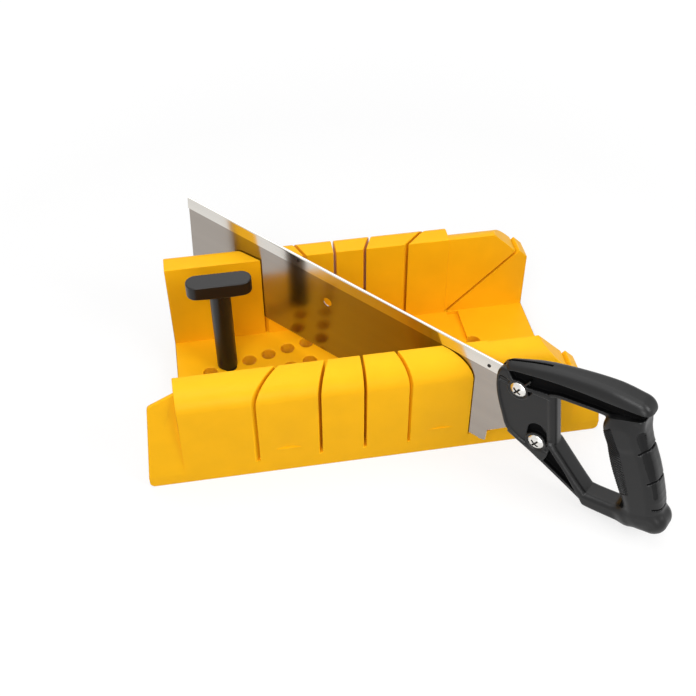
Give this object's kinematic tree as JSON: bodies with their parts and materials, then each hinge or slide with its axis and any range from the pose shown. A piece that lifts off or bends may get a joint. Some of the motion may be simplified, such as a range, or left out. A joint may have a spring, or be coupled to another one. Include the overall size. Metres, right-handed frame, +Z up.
{
  "type": "mitre box with back saw",
  "caption": "Slotted plastic mitre box with a bevel end, a turning cam pin that presses work to the rear wall, and a back saw lying in the outer mitre slot",
  "frame": {"origin": "Where the saw lines of the slots cross, on the plane that the box stands on", "axes": "+X along the box to its bevel end, +Y across it to the rear wall, +Z up"},
  "size_m": [0.4444, 0.3833, 0.1555],
  "materials": {
    "box_plastic": "satin moulded yellow plastic",
    "pin_plastic": "black moulded plastic, slightly glossy edges",
    "blade_steel": "smooth ground steel",
    "spine_steel": "bright folded steel",
    "handle_plastic": "charcoal moulded plastic, satin",
    "fastener_nickel": "nickel plated"
  },
  "bodies": {
    "box": {"bed": "box_plastic", "front_wall": "box_plastic", "rear_wall": "box_plastic", "left_wing": "box_plastic", "right_wing": "box_plastic"},
    "saw": {"saw_blade": "blade_steel", "saw_spine": "spine_steel", "spine_rivets": "blade_steel", "saw_handle": "handle_plastic", "upper_screw": "fastener_nickel", "lower_screw": "fastener_nickel", "upper_nut": "fastener_nickel", "lower_nut": "fastener_nickel"},
    "pin": {"cam_pin": "pin_plastic"}
  },
  "joints": [
    {"name": "saw_stroke", "type": "slide", "parent": "box", "child": "saw", "axis": [-0.7047, 0.7047, 0.0819], "range_m": [-0.055, 0.01]},
    {"name": "pin_turn", "type": "hinge", "parent": "box", "child": "pin", "pos_m": [-0.1145, 0.02885, 0.0165], "axis": [0, 0, 1], "continuous": true}
  ]
}
